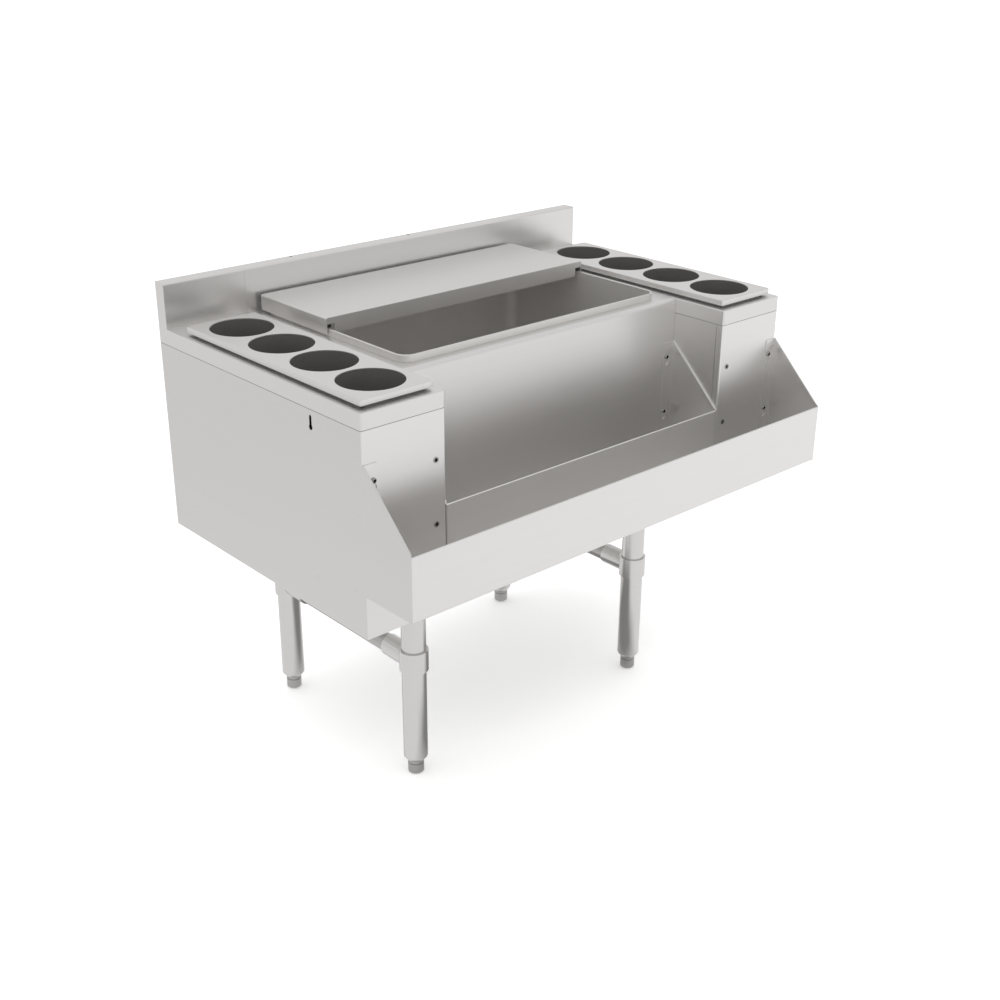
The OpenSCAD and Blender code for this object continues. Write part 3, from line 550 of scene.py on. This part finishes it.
class Growth(NodeMaker):
    """A Geometry Nodes group with named inputs, grown once into a plain mesh."""

    def __init__(self, name, **inputs):
        super().__init__(bpy.data.node_groups.new(name, "GeometryNodeTree"))
        face = self.tree.interface
        for way in ("INPUT", "OUTPUT"):
            face.new_socket("Geometry", in_out=way, socket_type="NodeSocketGeometry")
        self.values = {}
        for key, value in inputs.items():
            kind = "NodeSocketInt" if isinstance(value, int) else "NodeSocketFloat"
            item = face.new_socket(key, in_out="INPUT", socket_type=kind)
            self.values[item.identifier] = value
        self.start = self.tree.nodes.new("NodeGroupInput")
        self.end = self.tree.nodes.new("NodeGroupOutput")

    def given(self, name):
        return Value(self, self.start.outputs[name])

    def grow(self, name, seed_mesh, geometry, material):
        """Ends the group, runs it on the seed mesh and returns the closed mesh that it makes."""
        whole = self.node("GeometryNodeRealizeInstances", Geometry=geometry)
        whole = self.node("GeometryNodeSetMaterial", Geometry=whole, Material=material)
        self.put(self.end.inputs[0], whole)
        seed = bpy.data.objects.new(name + "_seed", seed_mesh)
        scene.collection.objects.link(seed)
        modifier = seed.modifiers.new("growth", "NODES")
        modifier.node_group = self.tree
        for identifier, value in self.values.items():
            modifier[identifier] = value
        graph = bpy.context.evaluated_depsgraph_get()
        mesh = bpy.data.meshes.new_from_object(seed.evaluated_get(graph))
        mesh.name = name
        mesh.materials.clear()
        mesh.materials.append(material)
        mesh.polygons.foreach_set("material_index", [0] * len(mesh.polygons))
        seed.modifiers.clear()
        bpy.data.objects.remove(seed)
        bpy.data.meshes.remove(seed_mesh)
        close_grown(mesh)
        return mesh


def close_grown(mesh):
    """Joins the doubled corners of a grown mesh and turns its faces outwards."""
    bm = bmesh.new()
    bm.from_mesh(mesh)
    bmesh.ops.remove_doubles(bm, verts=bm.verts, dist=GROWN_WELD)
    bmesh.ops.recalc_face_normals(bm, faces=bm.faces)
    bm.to_mesh(mesh)
    bm.free()


def outline(name, points, closed=True, places=()):
    """An outline of bare edges, x outwards and y up, that a group sweeps, and loose points to set it on."""
    mesh = bpy.data.meshes.new(name)
    count = len(points)
    edges = [(i, (i + 1) % count) for i in range(count if closed else count - 1)]
    mesh.from_pydata([(x, y, 0) for x, y in points] + [tuple(p) for p in places], edges, [])
    return mesh


def arc(cx, cy, r, start, stop, steps):
    """Points on a circle, with the angles in degrees."""
    turns = [math.radians(start + (stop - start) * i / steps) for i in range(steps + 1)]
    return [(cx + r * math.cos(t), cy + r * math.sin(t)) for t in turns]


def tube_section(hole_r, height):
    """Half section of a bottle tube about its hole's radius: base, wall and a rounded lip.

    A swept outline hangs below its circle, so its heights are given downwards.
    """
    drain = TUBE_DRAIN_R - hole_r
    foot = arc(TUBE_WALL - TUBE_FOOT_R, TUBE_FOOT_R, TUBE_FOOT_R, -90, 0, 4)
    lip_y = height - TUBE_LIP_R
    lip = arc(TUBE_WALL - TUBE_LIP_R, lip_y, TUBE_LIP_R, 0, 90, 4)
    lip += arc(TUBE_LIP_R, lip_y, TUBE_LIP_R, 90, 180, 4)
    cove = arc(-TUBE_COVE_R, TUBE_BASE + TUBE_COVE_R, TUBE_COVE_R, 0, -90, 5)
    whole = [(drain, 0)] + foot + lip + cove + [(drain, TUBE_BASE)]
    return [(x, -y) for x, y in whole]


def grow_bottle_tubes(side):
    """One row of tubes, each its section swept round its hole."""
    names = sorted(node for node in nodes if node.startswith(side + "_bottle_tube_"))
    low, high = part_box(names[0])
    centre = (low + high) / 2
    hole_r = (high.x - low.x) / 2 - TUBE_WALL
    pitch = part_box(names[1])[0].y - low.y
    g = Growth(side + "_tube_row", Count=len(names), Pitch=pitch, Radius=hole_r)
    section = g.node("GeometryNodeMeshToCurve", Mesh=g.given("Geometry"))
    hole = g.node("GeometryNodeCurvePrimitiveCircle", Resolution=TUBE_STEPS, Radius=g.given("Radius"))
    tube = g.node("GeometryNodeCurveToMesh", Curve=hole, Profile_Curve=section)
    step = g.node("ShaderNodeCombineXYZ", Y=g.given("Pitch"))
    first = (centre.x, centre.y, low.z)
    row = g.node("GeometryNodeMeshLine", Count=g.given("Count"), Start_Location=first, Offset=step)
    tubes = g.node("GeometryNodeInstanceOnPoints", Points=row, Instance=tube)
    seed = outline("tube_outline", tube_section(hole_r, high.z - low.z))
    mesh = g.grow(side + "_bottle_tubes", seed, tubes, tube_plastic)
    shade_smooth(mesh)
    return add_piece(side + "_bottle_tubes", mesh, names)


def solids_of(node):
    """The low and high corner of each separate solid of a CAD node, from left to right."""
    bm = merged(node)
    left = set(bm.verts)
    boxes = []
    while left:
        solid, waiting = [], [left.pop()]
        while waiting:
            v = waiting.pop()
            solid.append(v.co)
            others = {link.other_vert(v) for link in v.link_edges} & left
            left -= others
            waiting += others
        boxes.append([Vector([pick(co[i] for co in solid) for i in range(3)]) for pick in (min, max)])
    bm.free()
    return sorted(boxes, key=lambda box: tuple(box[0]))


def screw_section(head_r, length):
    """Half section of a button head screw, swept on a small circle about its axis, and so set back.

    A swept outline hangs below its circle, so its heights are given downwards.
    """
    dome = arc(head_r - SCREW_DOME_R, SCREW_HEAD_T - SCREW_DOME_R, SCREW_DOME_R, 90, 0, 6)
    tip = [(SCREW_SHANK_R, SCREW_EDGE - length), (SCREW_SHANK_R - SCREW_EDGE, -length), (0, -length)]
    whole = [(0, SCREW_HEAD_T)] + dome + [(head_r, 0), (SCREW_SHANK_R, 0)] + tip
    return [(x - SCREW_SWEEP_R, -y) for x, y in whole]


def in_socket(place, heads):
    """Whether a place lies in the socket of one of the screws."""
    for head in heads:
        off = math.hypot(place.x - head.x, place.z - head.z)
        if off < SOCKET_R and near(place.y, head.y, SCREW_HEAD_T - SAME_PLACE):
            return True
    return False


def grow_rail_screws():
    """Button head screws with hexagon sockets, one at each fixing hole."""
    boxes = solids_of("rail_screws")
    low, high = boxes[0]
    section = screw_section((high.x - low.x) / 2, high.y - low.y - SCREW_HEAD_T)
    heads = [Vector(((a.x + b.x) / 2, a.y + SCREW_HEAD_T, (a.z + b.z) / 2)) for a, b in boxes]
    seed = outline("screw_outline", section, closed=False, places=heads)
    g = Growth(
        "rail_screw_set", Outline_points=len(section), Sweep_r=SCREW_SWEEP_R, Socket_r=SOCKET_R,
        Socket_cut=2 * SOCKET_DEPTH)
    profile = g.node("GeometryNodeMeshToCurve", Mesh=g.given("Geometry"))
    sweep = g.node("GeometryNodeCurvePrimitiveCircle", Resolution=SCREW_STEPS, Radius=g.given("Sweep_r"))
    body = g.node("GeometryNodeCurveToMesh", Curve=sweep, Profile_Curve=profile)
    body = g.node("GeometryNodeMergeByDistance", Geometry=body, Distance=GROWN_WELD)
    hexagon = g.node(
        "GeometryNodeMeshCylinder", Vertices=6, Radius=g.given("Socket_r"), Depth=g.given("Socket_cut"))
    hexagon = g.node("GeometryNodeTransform", Geometry=hexagon, Translation=(0, 0, SCREW_HEAD_T))
    screw = g.node("GeometryNodeMeshBoolean", {"operation": "DIFFERENCE"}, numbered={0: body, 1: hexagon})
    loose = g.node(
        "FunctionNodeCompare", {"data_type": "INT", "operation": "GREATER_EQUAL"},
        numbered={2: g.node("GeometryNodeInputIndex"), 3: g.given("Outline_points")})
    places = g.node("GeometryNodeMeshToPoints", Mesh=g.given("Geometry"), Selection=loose)
    to_front = (math.radians(90), 0, 0)
    screws = g.node("GeometryNodeInstanceOnPoints", Points=places, Instance=screw, Rotation=to_front)
    mesh = g.grow("rail_screws_grown", seed, screws, screw_metal)
    # The sockets' faces get the near-black painted shade.
    mesh.materials.append(near_black_socket_shade)
    for face in mesh.polygons:
        face.material_index = int(in_socket(face.center, heads))
    shade_smooth(mesh)
    return add_piece("rail_screws_grown", mesh, ["rail_screws"])


def thread_section():
    """The thread's ridge: x outwards from the wall that it sits on, y along it."""
    base, crest, depth = THREAD_BASE / 2, THREAD_CREST / 2, THREAD_HALF_DEPTH
    return [(-depth, -base), (-depth, base), (depth, crest), (depth, -crest)]


def ring_radius(node, z):
    """The radius of a round node at one height."""
    low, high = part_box(node)
    centre = ((low + high) / 2).xy
    return max((v.co.xy - centre).length for v in nodes[node].data.vertices if near(v.co.z, z))


def grow_thread(node, radius, low_z, high_z, metal):
    """A screw thread on a stud or a tailpiece: a spiral swept with a small ridge."""
    low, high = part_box(node)
    axis = (low + high) / 2
    name = node + "_thread"
    g = Growth(name, Turns=(high_z - low_z) / THREAD_PITCH, Radius=radius, Height=high_z - low_z)
    ridge = g.node("GeometryNodeMeshToCurve", Mesh=g.given("Geometry"))
    spiral = g.node(
        "GeometryNodeCurveSpiral", Resolution=THREAD_STEPS, Rotations=g.given("Turns"),
        Start_Radius=g.given("Radius"), End_Radius=g.given("Radius"), Height=g.given("Height"))
    thread = g.node("GeometryNodeCurveToMesh", Curve=spiral, Profile_Curve=ridge, Fill_Caps=True)
    thread = g.node("GeometryNodeTransform", Geometry=thread, Translation=(axis.x, axis.y, low_z))
    mesh = g.grow(name, outline(name + "_ridge", thread_section()), thread, metal)
    return add_piece(name, mesh, [node], in_place_of_nodes=False)


def dress_leg(leg):
    """A leg with its tee and its screwed foot, whose thread runs up inside the leg."""
    foot = leg + "_foot"
    paint(leg + "_leg", leg_steel)
    paint(leg + "_tee", leg_steel)
    paint(foot, foot_metal)
    stud_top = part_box(foot)[1].z
    radius = ring_radius(foot, stud_top) - FOOT_THREAD_SUNK
    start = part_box(leg + "_leg")[0].z + FOOT_THREAD_START
    grow_thread(foot, radius, start, stud_top - FOOT_THREAD_END, foot_metal)


def dress_drain(drain):
    """A cast drain with a thread over the lower part of its tailpiece."""
    paint(drain, drain_metal)
    tail_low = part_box(drain)[0].z
    radius = ring_radius(drain, tail_low) - DRAIN_THREAD_SUNK
    grow_thread(drain, radius, tail_low + DRAIN_THREAD_START, tail_low + DRAIN_THREAD_END, drain_metal)


# Stage, light and camera

def floor_for_camera(f, x, y):
    """A white floor that keeps the shadow, with painted light a little brighter away from the shadow's heart.
    """
    by_camera = f.node("ShaderNodeLightPath", output="Is Camera Ray")
    off_x = (x - SHADOW_HEART[0]) * (1 / SHADOW_REACH[0])
    off_y = (y - SHADOW_HEART[1]) * (1 / SHADOW_REACH[1])
    painted_lift = (off_x * off_x + off_y * off_y - SHADOW_CORE).clamped()
    gain = FLOOR_GAIN - FLOOR_WHITE + FLOOR_PAINTED_LIFT * painted_lift
    matt = f.node("ShaderNodeBsdfDiffuse", Color=FLOOR_WHITE + gain * by_camera)
    glow = f.node("ShaderNodeEmission", Color=FLOOR_GLOW * by_camera)
    return f.node("ShaderNodeAddShader", numbered={0: matt, 1: glow})


def floor_for_steel(f, x, y):
    """The floor's reflection, a glow: painted light brighter to the front right, and painted shade under the
    ice bin.
    """
    painted_light_way = FLOOR_PAINTED_LIGHT_WAY[0] * x + FLOOR_PAINTED_LIGHT_WAY[1] * y
    level = FLOOR_IN_STEEL + FLOOR_SLOPE * painted_light_way.clamped(-FLOOR_SLOPE_END, FLOOR_SLOPE_END)
    shade_x = ((FLOOR_PAINTED_SHADE_REACH + bin_half_width - abs(x)) * (1 / FLOOR_PAINTED_SHADE_BLUR)).clamped()
    shade_y = ((FLOOR_PAINTED_SHADE_REACH + half_depth - abs(y)) * (1 / FLOOR_PAINTED_SHADE_BLUR)).clamped()
    return f.node("ShaderNodeEmission", Color=level * (1.0 - FLOOR_PAINTED_SHADE * shade_x * shade_y))


def floor_material():
    """The floor, with one finish for the camera and another for the steel's reflections."""
    f = Finish("studio_floor")
    f.tree.nodes.remove(f.surface)
    place = f.node("ShaderNodeTexCoord", output="Object")
    x, y = (f.node("ShaderNodeSeparateXYZ", output=axis, Vector=place) for axis in "XY")
    share = FLOOR_MIRRORED * f.node("ShaderNodeLightPath", output="Is Glossy Ray")
    seen = {0: share, 1: floor_for_camera(f, x, y), 2: floor_for_steel(f, x, y)}
    whole = f.node("ShaderNodeMixShader", numbered=seen)
    f.put(f.tree.nodes["Material Output"].inputs["Surface"], whole)
    return f.material


def add_floor():
    mesh = bpy.data.meshes.new("floor")
    corners = [(x * FLOOR_HALF, y * FLOOR_HALF, 0) for x, y in ((-1, -1), (1, -1), (1, 1), (-1, 1))]
    mesh.from_pydata(corners, [], [(0, 1, 2, 3)])
    mesh.materials.append(floor_material())
    floor = bpy.data.objects.new("floor", mesh)
    scene.collection.objects.link(floor)


def add_world():
    """A white studio: full white to the camera, and less as fill and in the steel."""
    world = bpy.data.worlds.new("studio")
    world.use_nodes = True
    w = NodeMaker(world.node_tree)
    by_camera = w.node("ShaderNodeLightPath", output="Is Camera Ray")
    by_steel = w.node("ShaderNodeLightPath", output="Is Glossy Ray")
    level = WORLD_FILL + (WORLD_IN_STEEL - WORLD_FILL) * by_steel + (1.0 - WORLD_FILL) * by_camera
    w.fill(w.tree.nodes["Background"], {"Color": (1.0, 1.0, 1.0, 1.0), "Strength": level})
    scene.world = world


def add_lamp():
    """A large soft lamp overhead, which the steel doesn't mirror."""
    light = bpy.data.lights.new("overhead", "AREA")
    light.shape = "RECTANGLE"
    light.size = light.size_y = LAMP_SIDE
    light.energy = LAMP_WATTS
    lamp = bpy.data.objects.new("overhead", light)
    lamp.location = LAMP_PLACE
    lamp.rotation_euler = (Vector(LAMP_AIM) - Vector(LAMP_PLACE)).to_track_quat("-Z", "Y").to_euler()
    lamp.visible_glossy = False
    scene.collection.objects.link(lamp)


def add_camera():
    data = bpy.data.cameras.new("camera")
    data.sensor_width = SENSOR_MM
    data.lens = FOCAL_PIXELS * SENSOR_MM / IMAGE_PIXELS
    data.clip_start = CAMERA_NEAR
    data.clip_end = CAMERA_FAR
    camera = bpy.data.objects.new("camera", data)
    yaw, pitch, roll = (math.radians(a) for a in (CAMERA_YAW, CAMERA_PITCH, CAMERA_ROLL))
    ahead = Vector((math.sin(yaw) * math.cos(pitch), math.cos(yaw) * math.cos(pitch), -math.sin(pitch)))
    right = ahead.cross(Vector((0, 0, 1))).normalized()
    up = right.cross(ahead)
    right, up = math.cos(roll) * right + math.sin(roll) * up, math.cos(roll) * up - math.sin(roll) * right
    turn = Matrix((right, up, -ahead)).transposed().to_4x4()
    camera.matrix_world = Matrix.Translation(CAMERA_PLACE) @ turn
    scene.collection.objects.link(camera)
    scene.camera = camera


# The whole scene

for side in SIDES:
    bottle_cabinet_sheets(side)
ice_bin_sheets()
speed_rail_sheets()
for leg in LEGS:
    dress_leg(leg)
for side in SIDES:
    dress_drain(side + "_well_drain")
    grow_bottle_tubes(side)
    paint(side + "_crossrail", crossrail_steel_shaded)
    paint(side + "_insulation", foam_block)
dress_drain("bin_drain")
grow_rail_screws()
paint("bin_insulation", foam_block)
paint("drain_strainer", plain_steel["x"])
paint("side_rivets", plain_steel["y"])
paint("lid_glides", glide_plastic)
paint("front_threaded_inserts", screw_metal)
paint("tee_set_screws", near_black_socket_shade)

add_floor()
add_world()
add_lamp()
add_camera()
scene.view_settings.view_transform = "Standard"
